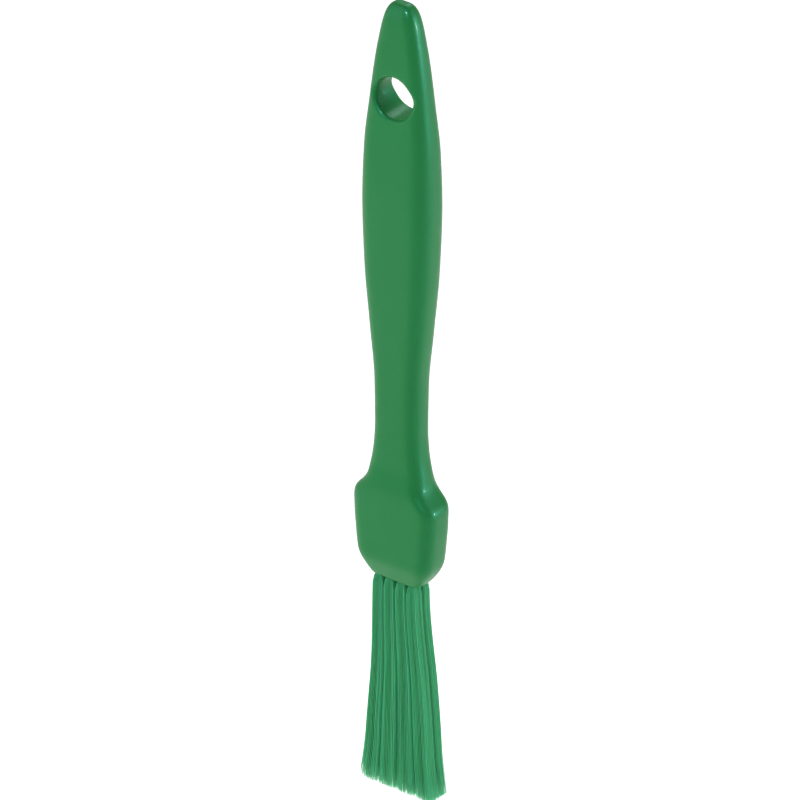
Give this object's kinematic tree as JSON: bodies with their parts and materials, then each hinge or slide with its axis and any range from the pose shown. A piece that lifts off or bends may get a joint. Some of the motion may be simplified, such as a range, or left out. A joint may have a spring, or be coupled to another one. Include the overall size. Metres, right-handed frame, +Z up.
{
  "type": "narrow filament brush",
  "caption": "Slim moulded brush with a rounded grip, a hanging hole near its end, a cut-cornered block and a flat fanned head of soft plastic filaments.",
  "frame": {"origin": "centre of the hanging hole, half way through the handle's thickness", "axes": "+Z up the handle towards its rounded end, X across the width, Y through the thickness"},
  "size_m": [0.023, 0.01, 0.2],
  "materials": {
    "moulded_plastic": "satin, injection moulded, through-coloured green",
    "filament": "extruded filament, slightly translucent green",
    "anchor_steel": "stainless flat wire, as cut"
  },
  "bodies": {
    "root": {"handle": "moulded_plastic", "tuft_front_1": "filament", "tuft_front_2": "filament", "tuft_front_3": "filament", "tuft_front_4": "filament", "tuft_back_1": "filament", "tuft_back_2": "filament", "tuft_back_3": "filament", "tuft_back_4": "filament", "anchor_front_1": "anchor_steel", "anchor_front_2": "anchor_steel", "anchor_front_3": "anchor_steel", "anchor_front_4": "anchor_steel", "anchor_back_1": "anchor_steel", "anchor_back_2": "anchor_steel", "anchor_back_3": "anchor_steel", "anchor_back_4": "anchor_steel"}
  },
  "joints": []
}
